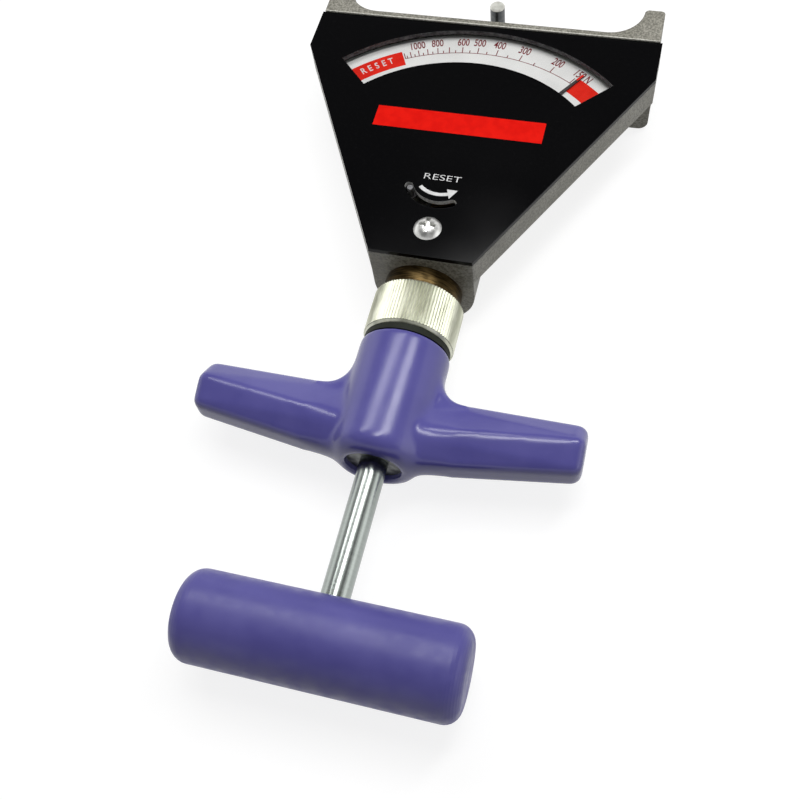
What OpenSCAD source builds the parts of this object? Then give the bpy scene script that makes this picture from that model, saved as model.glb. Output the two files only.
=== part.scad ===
// Hand-held belt tension tester: a cast fork head with an arc dial, a sprung plunger with a hook finger,
// a T-handle and a cross grip. It lies on its back: +X right, +Y toward the hook, +Z out of the dial.
// Modules draw with Y measured from the panel's top edge and Z from the plunger's axis; seat() places them.

/* [Case] */
// Width of the head across the two arms
head_w = 113.5; // [100:0.5:130]
// Height of the straight sides below the panel's top edge
shoulder_h = 16; // [10:0.5:24]
// Width of the case at the neck
foot_w = 31; // [28:0.5:36]
// Height of the panel from its top edge to the neck
panel_h = 94.5; // [92:0.5:100]
// Depth of the dial tray from the panel's face to its back
tray_d = 10; // [9.6:0.1:11]
// Wall of the casting
wall = 2; // [1.6:0.1:2.4]
// How far the plunger's axis lies behind the panel's face
axis_drop = 16.7; // [16.4:0.1:20]
// Thickness of the tray's top wall
lip_t = 2; // [1.5:0.1:3]
// How far the top wall stands proud of the panel
lip_proud = 0.6; // [0.2:0.1:1.2]

/* [Arms] */
// How far the arms rise past the panel's top edge
arm_rise = 13.7; // [11:0.1:18]
// Thickness of an arm
arm_t = 6.4; // [5:0.1:8]
// How far the arms and the top wall stand in from the case's sides
arm_inset = 0.8; // [0.4:0.1:1.4]
// Radius of the hollow between an arm and the top wall
arm_fillet = 11; // [6:0.5:11]
// How far an arm's rear pad reaches below the panel's top edge
pad_drop = 6; // [4:0.5:12]
// Rounding of an arm's tip corners
arm_round = 1.4; // [0.5:0.1:2]
// Rounding of the outer corner of an arm's rear pad
pad_round = 3.4; // [1:0.1:4]
// Radius of the fillet between an arm and the tray's back
arm_root = 6; // [3:0.5:9]

/* [Spine] */
// Outer radius of the spine that holds the plunger behind the tray
spine_r = 9.5; // [9.2:0.1:12]
// Length of the full-width neck boss
neck_len = 14.5; // [13:0.5:18]
// Length of the cone between the neck boss and the spine
neck_cone = 12; // [6:0.5:16]
// How far the spine ends below the panel's top edge
spine_drop = 10; // [9:0.5:14]

/* [Panel and dial] */
// Thickness of the black panel
panel_t = 1.5; // [1:0.1:1.8]
// Height of the pointer's pivot above the neck
pivot_rise = 29.3; // [28:0.1:29.5]
// Gap between the dial window and the panel's top edge
window_gap = 2.3; // [2:0.1:5]
// Height of the dial window
window_h = 14.5; // [12:0.1:16]
// Half-angle of the dial window
window_half = 44.7; // [38:0.1:46]
// How far the window lens and the dial reach past the window
dial_margin = 1.5; // [0.8:0.1:1.6]
// Thickness of the clear lens
lens_t = 0.8; // [0.5:0.1:1]
// Thickness of the dial plate
dial_t = 0.5; // [0.3:0.1:0.8]
// Depth from the panel's face to the dial
dial_drop = 3.3; // [3.2:0.1:3.6]
// Radius of a fixing ear of the dial
ear_r = 3.4; // [2.8:0.1:4]
// Gap between the dial and the tray's walls
dial_gap = 0.4; // [0.2:0.1:0.8]

/* [Pointer] */
// Angle of the pointer to the right of the middle at rest
pointer_rest = 34; // [25:0.5:40]
// Gap between the needle's tip and the window's outer edge
needle_gap = 1.9; // [1:0.1:6]
// Width of the needle at its root
needle_w = 2; // [1.2:0.1:3]
// Width of the needle at its tip
needle_tip_w = 0.8; // [0.4:0.1:1.2]
// Thickness of the pointer
pointer_t = 0.4; // [0.3:0.05:0.5]
// Radius of the pointer's hub
pointer_hub_r = 3.4; // [2.8:0.1:4]
// Radius of the reset pin's path
reset_path_r = 10.3; // [8:0.1:11]
// Diameter of the reset pin
reset_pin_d = 1.8; // [1:0.1:2.2]
// Angle from the needle to the reset pin, counter-clockwise
reset_pin_turn = 158; // [150:1:170]
// Pointer travel toward the left end
pointer_travel = 76; // [60:1:78]
// Side clearance of the reset pin in its slot
reset_clear = 0.4; // [0.2:0.05:0.6]
// Extra slot angle past the pin's travel at each end
reset_over = 9; // [7:1:20]
// How far the reset pin stands out of the panel
reset_proud = 0.9; // [0.5:0.1:2]

/* [Movement] */
// Travel of the plunger
stroke = 16.5; // [12:0.5:17]
// Gear module of the rack and sector
gear_module = 0.8; // [0.7:0.05:0.8]
// Teeth on the sector's full circle
gear_teeth = 28; // [26:1:30]
// Play between the teeth
backlash = 0.16; // [0.1:0.02:0.3]
// Thickness of the sector
sector_t = 1.6; // [1.2:0.1:1.8]
// Thickness of the rack
rack_t = 1.8; // [1.4:0.1:2]
// Height of the rack's back behind its teeth
rack_back = 2.4; // [2:0.1:3]
// Diameter of the arbor
arbor_d = 3; // [2.5:0.1:3.4]
// Radius of the drive dog's path
dog_path_r = 9; // [7:0.1:10]
// Diameter of the drive dog
dog_d = 1.8; // [1.2:0.1:2.2]
// Width of the rack bracket along the rod
bracket_w = 8; // [6:0.5:9]
// Radius of the bracket's collar
bracket_r = 6.2; // [5.6:0.1:6.4]

/* [Plunger] */
// Diameter of the plunger rod
rod_d = 8; // [7:0.1:8.4]
// Diameter of the hook finger
finger_d = 5; // [4:0.1:6]
// Height of the finger's axis above the panel's top edge
finger_rise = 16.2; // [15:0.1:20]
// Depth of the finger's end behind the panel's face
finger_depth = 5; // [3:0.1:9]
// Width of the hook's leg
leg_w = 10; // [8:0.5:12]
// Thickness of the hook's leg
leg_t = 5; // [4:0.1:5.4]
// Radius of the hook's collar
hook_r = 6; // [5.4:0.1:6.2]
// Length of the hook's collar
hook_len = 12; // [9:0.5:12]
// Diameter of the cross pins
cross_pin_d = 2.5; // [2:0.1:3]

/* [Spring and neck] */
// Diameter of the sleeve's thread
sleeve_d = 20; // [19:0.5:21]
// Diameter of the sleeve's spigot in the case
spigot_d = 16; // [15:0.5:16.4]
// Length of the spigot
spigot_len = 10; // [8:0.5:12]
// Diameter of the sleeve's collar under the case
collar_d = 23.6; // [22:0.2:26]
// Length of the sleeve's collar
collar_len = 5.3; // [4:0.1:8]
// Inner diameter of the spring chamber
chamber_d = 14.8; // [14.6:0.1:16]
// Mean diameter of the spring
spring_d = 11.6; // [11.4:0.1:12]
// Wire diameter of the spring
wire_d = 1.8; // [1.4:0.1:2]
// Turns of the spring
spring_turns = 9; // [7:1:10]
// Diameter of the spring seat
seat_d = 13.8; // [13.4:0.1:14.2]
// Thickness of the spring seat
seat_t = 2; // [1.5:0.1:3]
// Diameter of the knurled ring
ring_d = 27.2; // [26:0.2:30]
// Length of the knurled ring
ring_len = 15.3; // [12:0.1:20]
// Number of knurls on the ring
knurls = 90; // [60:2:110]
// Depth of a knurl
knurl_depth = 0.35; // [0.2:0.05:0.5]
// Chamfer of the ring's ends
ring_chamfer = 0.9; // [0.5:0.1:1.5]
// Thickness of the washer between ring and handle
washer_t = 1.9; // [1.5:0.1:3.5]
// Diameter of that washer
washer_d = 25.8; // [24:0.2:27]

/* [T-handle] */
// Length of the handle's hub along the rod
handle_len = 38.1; // [38:0.1:44]
// Diameter of the handle's neck
neck_d = 26.8; // [26:0.2:30]
// Span of the handle's wings
wing_span = 112; // [96:1:120]
// Drop from the top of the hub to the wings' upper edge
wing_drop = 14.7; // [10:0.1:14.7]
// Height of a wing at its root
wing_root_h = 23.3; // [20:0.1:23.4]
// Height of a wing at its tip
wing_tip_h = 16; // [14:0.5:20]
// Thickness of a wing at its root, across the ridge
wing_root_t = 18; // [15:0.5:22]
// Thickness of a wing at its tip, across the ridge
wing_tip_t = 14; // [12:0.5:16]
// Place of the ridge on a wing's face at the root, as a share of the height there
wing_root_ridge = 0.62; // [0.5:0.02:0.7]
// Place of the ridge on a wing's face at the tip, as a share of the height there
wing_tip_ridge = 0.48; // [0.4:0.02:0.6]
// Thickness of a wing along its upper edge
wing_crest_t = 7.2; // [6.4:0.1:10]
// Thickness of a wing along its lower edge
wing_keel_t = 10.4; // [7:0.1:12]
// Edge rounding of the wings
wing_round = 3; // [2:0.1:3.2]
// Radius of the fillet between neck and wing
wing_fillet = 9; // [5:0.5:10]
// Rounding of the hub's lower end
hub_round = 5; // [3:0.5:5]
// Diameter of the lower guide bush
bush_d = 16; // [14.4:0.2:17]
// Length of the lower guide bush
bush_len = 7; // [5:0.5:9]
// How far the bush lies inside the hub's end
bush_recess = 2; // [0.5:0.1:3]

/* [Grip] */
// Visible length of rod between handle and grip at rest
rod_gap = 37.4; // [30:0.2:44]
// Diameter of the cross grip
grip_d = 24.8; // [22:0.2:28]
// Length of the cross grip
grip_len = 76; // [64:1:90]
// Rounding of the grip's ends
grip_round = 4.5; // [2:0.5:6]
// Depth of the rod's seat in the grip
seat_depth = 16; // [12:0.5:18]
// Diameter of the insert moulded into the grip
insert_d = 12; // [11:0.2:14]
// Depth of the insert's upper end below the grip's surface
insert_cover = 4; // [3.5:0.1:6]

/* [Fits] */
// Radial clearance of sliding and turning fits
run_clear = 0.05; // [0.02:0.01:0.08]
// Radial clearance of pressed and screwed fits
fit_clear = 0.02; // [0.01:0.01:0.04]
// Open gap around moving pieces that do not touch
free_gap = 0.6; // [0.4:0.1:0.8]

/* [Hidden] */
$fn = 64;
eps = 0.01;

// Heights above the plunger's axis
face_z = axis_drop;
panel_back_z = face_z - panel_t;
lip_z = face_z + lip_proud;
tray_back_z = face_z - tray_d;
floor_z = tray_back_z + wall;
rest_z = -foot_w/2;
dial_z = face_z - dial_drop;
lens_z = panel_back_z - lens_t;
pointer_z = dial_z + (lens_z - dial_z - pointer_t)/2;

// Stations along the plunger
neck_y = -panel_h;
cone_y = neck_y + neck_len;
spine_top_y = -spine_drop;
pivot_y = neck_y + pivot_rise;
collar_y = neck_y - collar_len;
ring_gap = 0.1;
ring_top_y = collar_y - ring_gap;
ring_low_y = ring_top_y - ring_len;
washer_y = ring_low_y - ring_gap;
handle_top_y = washer_y - washer_t;
handle_low_y = handle_top_y - handle_len;
grip_top_y = handle_low_y - rod_gap;
grip_y = grip_top_y - grip_d/2;
rod_low_y = grip_top_y - seat_depth;
insert_top_y = grip_top_y - insert_cover;
insert_low_y = rod_low_y - 2;
hook_low_y = spine_top_y + 0.3;
hook_top_y = hook_low_y + hook_len;
rod_top_y = hook_top_y - 0.5;
leg_top_y = finger_rise + leg_w/2;

// Placing of the whole tester: resting plane at zero, middle of its length at zero
low_end_y = grip_y - grip_d/2;
mid_y = (leg_top_y + low_end_y)/2;

// Sloping side of the case: run per height, and its half width at a station, moved in by a distance
side_run = (head_w - foot_w)/2/(panel_h - shoulder_h);
slant = sqrt(1 + side_run*side_run);
function slope_x(y, inset) = foot_w/2 + (y - neck_y)*side_run - inset*slant;
pocket_y = neck_y + 6.5;

// Dial and lens outlines
window_r_out = panel_h - pivot_rise - window_gap;
window_r_in = window_r_out - window_h;
needle_len = window_r_out - needle_gap;
glass_r_in = window_r_in - dial_margin;
glass_r_out = window_r_out + dial_margin;
glass_half = window_half + dial_margin;
ear_y = pivot_y + 0.29*(window_r_in + window_r_out);
ear_x = slope_x(ear_y, wall + dial_gap + ear_r);
ear_angle = atan2(ear_x, ear_y - pivot_y);

// Panel screw
screw_y = neck_y + 10;
screw_d = 5;
screw_head_d = 8.4;
screw_head_h = 2.3;
screw_boss_r = 4.8;
screw_depth = 5;

// Dial screws
dial_screw_d = 2.4;
dial_screw_head_d = 4.2;
dial_screw_head_h = 1;

// Rack and sector
pitch_r = gear_module*gear_teeth/2;
tooth_pitch = PI*gear_module;
pressure = 20;
base_r = pitch_r*cos(pressure);
tip_r = pitch_r + gear_module;
root_r = pitch_r - 1.25*gear_module;
sector_turn = stroke/pitch_r*180/PI;
teeth_behind = ceil(sector_turn*gear_teeth/360) + 1;
sector_hub_r = 4;
sector_hub_over = 0.4;
rack_z = floor_z + 0.35 + 1.1;
sector_z = rack_z + (rack_t - sector_t)/2;
arm_plate_z = floor_z + 0.35;
arm_plate_t = rack_z - arm_plate_z;
rack_root_x = pitch_r + 1.25*gear_module;
rack_x1 = rack_root_x + rack_back;
bracket_low_y = pivot_y + 11.2;
bracket_top_y = bracket_low_y + bracket_w;
rack_low_y = pivot_y - stroke - 1.6*tooth_pitch;
rivet_d = 1.6;
needle_angle = 90 - pointer_rest;
dog_angle = needle_angle + asin((needle_w/2 + dog_d/2)/dog_path_r);
dog_gap = 0.3;

// Arbor stack
arbor_r = arbor_d/2;
arbor_low_z = tray_back_z - 1;
arbor_top_z = panel_back_z - 0.2;
shoulder_z = sector_z - sector_hub_over - 0.05;
washer_low_z = sector_z + sector_t + sector_hub_over + 0.05;
washer_top_z = pointer_z - 0.05;
clip_z = pointer_z + pointer_t + 0.1;
clip_t = 0.3;
groove_depth = 0.35;

// Plunger and neck
rod_r = rod_d/2;
finger_z = face_z - finger_depth;
shank_d = finger_d*0.8;
leg_low_z = rest_z + 0.3;
leg_top_z = leg_low_z + leg_t;
upper_bush_r = rod_r + 2.4;
upper_bush_len = 14;
sleeve_low_y = handle_low_y + bush_recess + bush_len;
spigot_top_y = neck_y + spigot_len;
chamber_top_y = neck_y - 2.5;
seat_y = sleeve_low_y + 4;
seat_clip_t = 1;
seat_clip_y = seat_y - seat_clip_t - 0.1;
spring_len = chamber_top_y - (seat_y + seat_t);

// Places a piece drawn about the plunger's axis
module seat() {
    translate([0, -mid_y, -rest_z]) children();
}

// Round bar along the plunger's axis between two stations
module bar_y(r, y0, y1) {
    translate([0, y0, 0]) rotate([-90, 0, 0]) cylinder(r = r, h = y1 - y0);
}

// Hollow bar along the plunger's axis
module tube_y(r_out, r_in, y0, y1) {
    difference() {
        bar_y(r_out, y0, y1);
        bar_y(r_in, y0 - 1, y1 + 1);
    }
}

// Body turned about the plunger's axis from a profile of radius and station
module turned_y(profile) {
    rotate([-90, 0, 0]) rotate_extrude() polygon(profile);
}

// Plate between two heights from a flat outline
module plate(z0, z1) {
    translate([0, 0, z0]) linear_extrude(z1 - z0) children();
}

// Copies a shape to both sides of the middle
module both_sides() {
    children();
    mirror([1, 0, 0]) children();
}

// Part of a flat ring about the pivot, spread by an angle to each side of the middle
module dial_band(r_in, r_out, half) {
    far = 2*r_out;
    translate([0, pivot_y]) intersection() {
        difference() {
            circle(r_out, $fn = 128);
            circle(r_in, $fn = 128);
        }
        polygon([[0, 0], [far*sin(half), far*cos(half)], [0, 2*far], [-far*sin(half), far*cos(half)]]);
    }
}

// Outline of the panel and of the tray behind it
module head_outline() {
    polygon([[-head_w/2, 0], [head_w/2, 0], [head_w/2, -shoulder_h], [foot_w/2, neck_y],
             [-foot_w/2, neck_y], [-head_w/2, -shoulder_h]]);
}

// Room inside the tray, or a shape that lies in it with a gap to its walls
module pocket_outline(gap = 0) {
    half_w = head_w/2 - wall - gap;
    low = pocket_y + gap;
    knee = neck_y + (half_w - foot_w/2 + (wall + gap)*slant)/side_run;
    low_half = slope_x(low, wall + gap);
    polygon([[-half_w, -gap], [half_w, -gap], [half_w, knee], [low_half, low], [-low_half, low],
             [-half_w, knee]]);
}

// Outer and inner faces of the right arm
arm_x1 = head_w/2 - arm_inset;
arm_x0 = arm_x1 - arm_t;

// Front view of the right arm, with its two tip corners rounded
module arm_outline() {
    translate([arm_x0, -pad_drop]) square([arm_t, pad_drop + arm_rise - arm_round]);
    translate([arm_x0 + arm_round, 0]) square([arm_t - 2*arm_round, arm_rise]);
    for (x = [arm_x0 + arm_round, arm_x1 - arm_round])
        translate([x, arm_rise - arm_round]) circle(arm_round);
}

// Rear view of the right arm, with the outer corner of its pad rounded
module arm_section() {
    translate([arm_x0, rest_z]) square([arm_t - pad_round, lip_z - rest_z]);
    translate([arm_x0, rest_z + pad_round]) square([arm_t, lip_z - rest_z - pad_round]);
    translate([arm_x1 - pad_round, rest_z + pad_round]) circle(pad_round);
}

// Concave corner between two straight edges, at the origin, filling the first quadrant
module corner_fillet(r) {
    difference() {
        translate([-eps, -eps]) square(r + eps);
        translate([r, r]) circle(r);
    }
}

module right_arm() {
    intersection() {
        plate(rest_z, lip_z) arm_outline();
        translate([0, arm_rise, 0]) rotate([90, 0, 0]) linear_extrude(arm_rise + pad_drop) arm_section();
    }
    plate(tray_back_z, lip_z) translate([arm_x0, lip_t]) mirror([1, 0]) corner_fillet(arm_fillet);
    translate([0, lip_t, 0]) rotate([90, 0, 0]) linear_extrude(lip_t + pad_drop)
        translate([arm_x0, tray_back_z]) mirror([1, 0]) mirror([0, 1]) corner_fillet(arm_root);
}

module spine_solid() {
    bar_y(foot_w/2, neck_y, cone_y);
    translate([-foot_w/2, neck_y, 0]) cube([foot_w, neck_len, tray_back_z + eps]);
    translate([0, cone_y, 0]) rotate([-90, 0, 0]) cylinder(r1 = foot_w/2, r2 = spine_r, h = neck_cone);
    bar_y(spine_r, cone_y, spine_top_y);
    translate([-spine_r, cone_y, 0]) cube([2*spine_r, spine_top_y - cone_y, tray_back_z + eps]);
}

module case_posts() {
    translate([0, screw_y, floor_z - eps]) cylinder(r = screw_boss_r, h = panel_back_z - floor_z + eps);
    both_sides() translate([ear_x, ear_y, floor_z - eps])
        cylinder(r = ear_r + dial_gap + wall/2, h = dial_z - dial_t - floor_z + eps);
}

module case_cuts() {
    bracket_bore = bracket_r + free_gap;
    run_low = bracket_low_y - free_gap;
    run_top = bracket_top_y + stroke + free_gap;
    translate([-head_w, neck_y - 1, panel_back_z]) cube([2*head_w, panel_h + 1, 10]);
    bar_y(rod_r + free_gap, neck_y - 1, spine_top_y + 1);
    bar_y(spigot_d/2 + fit_clear, neck_y - 1, spigot_top_y + 0.2);
    bar_y(upper_bush_r + fit_clear, spine_top_y - upper_bush_len, spine_top_y + 1);
    bar_y(bracket_bore, run_low, run_top);
    translate([-bracket_bore, run_low, 0]) cube([2*bracket_bore, run_top - run_low, floor_z + 1]);
    translate([0, screw_y, panel_back_z - screw_depth - 0.3]) cylinder(d = screw_d + 2*fit_clear, h = 20);
    translate([0, pivot_y, arbor_low_z - 0.1]) cylinder(r = arbor_r + fit_clear, h = 20);
    both_sides() translate([ear_x, ear_y, floor_z + 0.5])
        cylinder(d = dial_screw_d + 2*fit_clear, h = 20);
}

module case() {
    color("darkgray") seat() difference() {
        union() {
            difference() {
                union() {
                    plate(tray_back_z, panel_back_z) head_outline();
                    translate([-arm_x1, -eps, tray_back_z]) cube([2*arm_x1, lip_t + eps, lip_z - tray_back_z]);
                    both_sides() right_arm();
                    spine_solid();
                }
                plate(floor_z, panel_back_z + 20) pocket_outline();
            }
            case_posts();
        }
        case_cuts();
    }
}

// Points along an arc about a centre
function arc_points(centre, r, a0, a1, steps) =
    [for (i = [0:steps]) let (a = a0 + (a1 - a0)*i/steps) centre + r*[cos(a), sin(a)]];

// Curved slot with round ends that the reset pin travels in
module reset_slot() {
    a0 = needle_angle + reset_pin_turn - reset_over;
    a1 = needle_angle + reset_pin_turn + pointer_travel + reset_over;
    half_w = reset_pin_d/2 + reset_clear;
    pivot = [0, pivot_y];
    far_end = pivot + reset_path_r*[cos(a1), sin(a1)];
    near_end = pivot + reset_path_r*[cos(a0), sin(a0)];
    polygon(concat(arc_points(pivot, reset_path_r + half_w, a0, a1, 24),
                   arc_points(far_end, half_w, a1 + 20, a1 + 160, 6),
                   arc_points(pivot, reset_path_r - half_w, a1, a0, 24),
                   arc_points(near_end, half_w, a0 + 200, a0 + 340, 6)));
}

module front_panel() {
    color("black") seat() difference() {
        plate(panel_back_z, face_z) difference() {
            head_outline();
            dial_band(window_r_in, window_r_out, window_half);
            reset_slot();
        }
        translate([0, screw_y, panel_back_z - 1]) cylinder(d = screw_d + 0.3, h = panel_t + 2);
    }
}

module panel_screw() {
    dome_r = (screw_head_d*screw_head_d/4 + screw_head_h*screw_head_h)/(2*screw_head_h);
    cross_l = 5;
    cross_w = 1.3;
    color("gainsboro") seat() translate([0, screw_y, face_z]) difference() {
        union() {
            intersection() {
                cylinder(d = screw_head_d, h = screw_head_h);
                translate([0, 0, screw_head_h - dome_r]) sphere(dome_r);
            }
            translate([0, 0, -panel_t - screw_depth]) cylinder(d = screw_d, h = panel_t + screw_depth + eps);
        }
        for (a = [0, 90])
            rotate(a) translate([-cross_l/2, -cross_w/2, screw_head_h - 1.5]) cube([cross_l, cross_w, 3]);
    }
}

module window_lens() {
    color("lightcyan", 0.4) seat() plate(lens_z, panel_back_z) intersection() {
        dial_band(glass_r_in, glass_r_out, glass_half);
        pocket_outline(dial_gap);
    }
}

module dial_plate() {
    color("white") seat() difference() {
        plate(dial_z - dial_t, dial_z) intersection() {
            union() {
                dial_band(glass_r_in, glass_r_out, ear_angle);
                for (side = [-1, 1])
                    translate([side*ear_x, ear_y]) circle(ear_r);
            }
            pocket_outline(dial_gap - eps);
        }
        both_sides() translate([ear_x, ear_y, dial_z - 2]) cylinder(d = dial_screw_d + 0.2, h = 4);
    }
}

module dial_screws() {
    low = floor_z + 0.7;
    color("silver") seat() both_sides() translate([ear_x, ear_y, 0]) {
        translate([0, 0, low]) cylinder(d = dial_screw_d, h = dial_z - low + eps);
        translate([0, 0, dial_z]) difference() {
            cylinder(d = dial_screw_head_d, h = dial_screw_head_h);
            translate([-3, -0.25, dial_screw_head_h - 0.4]) cube([6, 0.5, 1]);
        }
    }
}

// Outline of the pointer along +X: needle, hub and the arm of the reset pin
module pointer_outline() {
    arm_w = 2;
    circle(pointer_hub_r);
    polygon([[0, -needle_w/2], [needle_len, -needle_tip_w/2], [needle_len, needle_tip_w/2], [0, needle_w/2]]);
    rotate(reset_pin_turn) {
        translate([0, -arm_w/2]) square([reset_path_r, arm_w]);
        translate([reset_path_r, 0]) circle(reset_pin_d/2 + 0.6);
    }
}

module pointer() {
    color("crimson") seat() translate([0, pivot_y, 0]) difference() {
        plate(pointer_z, pointer_z + pointer_t) rotate(needle_angle) pointer_outline();
        translate([0, 0, pointer_z - 1]) cylinder(r = arbor_r + run_clear, h = 3);
        rotate(needle_angle + reset_pin_turn) translate([reset_path_r, 0, pointer_z - 1])
            cylinder(d = reset_pin_d + 2*fit_clear, h = 3);
    }
}

module reset_pin() {
    color("silver") seat() translate([0, pivot_y, pointer_z]) rotate(needle_angle + reset_pin_turn)
        translate([reset_path_r, 0, 0]) cylinder(d = reset_pin_d, h = face_z + reset_proud - pointer_z);
}

module pointer_arbor() {
    color("silver") seat() translate([0, pivot_y, 0]) difference() {
        union() {
            translate([0, 0, arbor_low_z]) cylinder(r = arbor_r, h = arbor_top_z - arbor_low_z);
            translate([0, 0, floor_z]) cylinder(r = arbor_r + 1.2, h = shoulder_z - floor_z);
        }
        translate([0, 0, clip_z]) difference() {
            cylinder(r = arbor_r + 1, h = clip_t);
            translate([0, 0, -1]) cylinder(r = arbor_r - groove_depth, h = clip_t + 2);
        }
    }
}

module friction_washer() {
    color("goldenrod") seat() translate([0, pivot_y, washer_low_z]) difference() {
        cylinder(r = pointer_hub_r - 0.2, h = washer_top_z - washer_low_z);
        translate([0, 0, -1]) cylinder(r = arbor_r + fit_clear, h = 5);
    }
}

module arbor_clip() {
    thin = 0.02;
    color("dimgray") seat() translate([0, pivot_y, clip_z + thin]) difference() {
        cylinder(r = arbor_r + 1.2, h = clip_t - 2*thin);
        translate([0, 0, -1]) cylinder(r = arbor_r - groove_depth + fit_clear, h = 5);
        translate([0, -arbor_r*0.6, -1]) cube([10, arbor_r*1.2, 5]);
    }
}

// Involute function, in degrees
function involute(a) = tan(a)*180/PI - a;
// Half the angle that a tooth spans at a radius
function tooth_half(r) =
    90/gear_teeth - backlash/2/pitch_r*90/PI + involute(pressure)
    - involute(r > base_r ? acos(base_r/r) : 0);
function polar(r, a) = r*[cos(a), sin(a)];
flank_r = [for (i = [0:4]) root_r + (tip_r - root_r)*i/4];
function tooth(c) = concat([for (r = flank_r) polar(r, c - tooth_half(r))],
                           [for (i = [4:-1:0]) polar(flank_r[i], c + tooth_half(flank_r[i]))]);

module sector_outline() {
    step = 360/gear_teeth;
    rim = [for (k = [-teeth_behind:1]) each tooth(k*step)];
    arm_w = dog_d + 1.6;
    polygon(concat([[0, 0]], rim));
    circle(sector_hub_r);
    rotate(dog_angle) {
        translate([0, -arm_w/2]) square([dog_path_r, arm_w]);
        translate([dog_path_r, 0]) circle(arm_w/2);
    }
}

module drive_sector() {
    color("darkgoldenrod") seat() translate([0, pivot_y, 0]) difference() {
        union() {
            plate(sector_z, sector_z + sector_t) sector_outline();
            translate([0, 0, sector_z - sector_hub_over])
                cylinder(r = sector_hub_r - 0.6, h = sector_t + 2*sector_hub_over);
        }
        translate([0, 0, sector_z - 3]) cylinder(r = arbor_r + run_clear, h = 9);
        rotate(dog_angle) translate([dog_path_r, 0, sector_z - 1])
            cylinder(d = dog_d + 2*fit_clear, h = 5);
    }
}

module drive_dog() {
    color("silver") seat() translate([0, pivot_y, sector_z]) rotate(dog_angle)
        translate([dog_path_r, 0, 0]) cylinder(d = dog_d, h = pointer_z - dog_gap - sector_z);
}

// Rack seen from the front, its teeth toward the pivot and a gap level with it
module rack_outline() {
    slope = tan(pressure);
    half_pitch = tooth_pitch/4 - backlash/4;
    half_tip = half_pitch - gear_module*slope;
    half_root = half_pitch + 1.25*gear_module*slope;
    low = ceil((rack_low_y + half_root - pivot_y)/tooth_pitch - 0.5);
    edge = [for (k = [1:-1:low])
            let (y = pivot_y + (k + 0.5)*tooth_pitch)
            each [[rack_root_x, y + half_root], [pitch_r - gear_module, y + half_tip],
                  [pitch_r - gear_module, y - half_tip], [rack_root_x, y - half_root]]];
    polygon(concat([[rack_root_x, rack_low_y], [rack_x1, rack_low_y], [rack_x1, bracket_top_y],
                    [rack_root_x, bracket_top_y]], edge));
}

// Places of the two rivets that hold the rack to its bracket
module at_rivets() {
    for (y = [bracket_low_y + bracket_w/4, bracket_top_y - bracket_w/4])
        translate([rack_root_x + rack_back/2, y, 0]) children();
}

module rack() {
    color("silver") seat() difference() {
        plate(rack_z, rack_z + rack_t) rack_outline();
        at_rivets() translate([0, 0, rack_z - 1]) cylinder(d = rivet_d + 2*fit_clear, h = 5);
    }
}

module rack_rivets() {
    color("gold") seat() at_rivets() translate([0, 0, arm_plate_z])
        cylinder(d = rivet_d, h = arm_plate_t + rack_t);
}

module rack_bracket() {
    post_half = bracket_r*0.5;
    mid = (bracket_low_y + bracket_top_y)/2;
    color("slategray") seat() difference() {
        union() {
            bar_y(bracket_r, bracket_low_y, bracket_top_y);
            translate([-post_half, bracket_low_y, 0]) cube([2*post_half, bracket_w, rack_z]);
            translate([-post_half, bracket_low_y, arm_plate_z])
                cube([rack_x1 + post_half, bracket_w, arm_plate_t]);
        }
        bar_y(rod_r + fit_clear, bracket_low_y - 1, bracket_top_y + 1);
        translate([-20, mid, 0]) rotate([0, 90, 0]) cylinder(d = cross_pin_d + 2*fit_clear, h = 40);
        at_rivets() translate([0, 0, arm_plate_z - 1]) cylinder(d = rivet_d + 2*fit_clear, h = 5);
    }
}

module bracket_pin() {
    half = bracket_r - 0.4;
    color("silver") seat() translate([-half, (bracket_low_y + bracket_top_y)/2, 0]) rotate([0, 90, 0])
        cylinder(d = cross_pin_d, h = 2*half);
}

module plunger_rod() {
    groove_r = rod_r - 0.6;
    color("lightsteelblue") seat() difference() {
        bar_y(rod_r, rod_low_y, rod_top_y);
        for (y = [(bracket_low_y + bracket_top_y)/2, (hook_low_y + hook_top_y)/2])
            translate([-20, y, 0]) rotate([0, 90, 0]) cylinder(d = cross_pin_d + 2*fit_clear, h = 40);
        tube_y(rod_r + 1, groove_r, seat_clip_y, seat_clip_y + seat_clip_t);
    }
}

module hook() {
    color("gray") seat() difference() {
        union() {
            bar_y(hook_r, hook_low_y, hook_top_y);
            translate([-leg_w/2, hook_low_y, leg_low_z]) cube([leg_w, hook_len, -leg_low_z]);
            plate(leg_low_z, leg_top_z) {
                translate([-leg_w/2, hook_low_y]) square([leg_w, finger_rise - hook_low_y]);
                translate([0, finger_rise]) circle(leg_w/2);
            }
        }
        bar_y(rod_r + fit_clear, hook_low_y - 1, hook_top_y + 1);
        translate([0, finger_rise, leg_low_z - 1]) cylinder(d = shank_d + 2*fit_clear, h = leg_t + 2);
        translate([-20, (hook_low_y + hook_top_y)/2, 0]) rotate([0, 90, 0])
            cylinder(d = cross_pin_d + 2*fit_clear, h = 40);
    }
}

module hook_finger() {
    chamfer = 0.5;
    r = finger_d/2;
    color("silver") seat() translate([0, finger_rise, 0]) rotate_extrude()
        polygon([[0, leg_low_z], [shank_d/2, leg_low_z], [shank_d/2, leg_top_z], [r, leg_top_z],
                 [r, finger_z - chamfer], [r - chamfer, finger_z], [0, finger_z]]);
}

module hook_pin() {
    half = hook_r - 0.4;
    color("silver") seat() translate([-half, (hook_low_y + hook_top_y)/2, 0]) rotate([0, 90, 0])
        cylinder(d = cross_pin_d, h = 2*half);
}

module upper_bush() {
    color("goldenrod") seat()
        tube_y(upper_bush_r, rod_r + run_clear, spine_top_y - upper_bush_len, spine_top_y);
}

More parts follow.
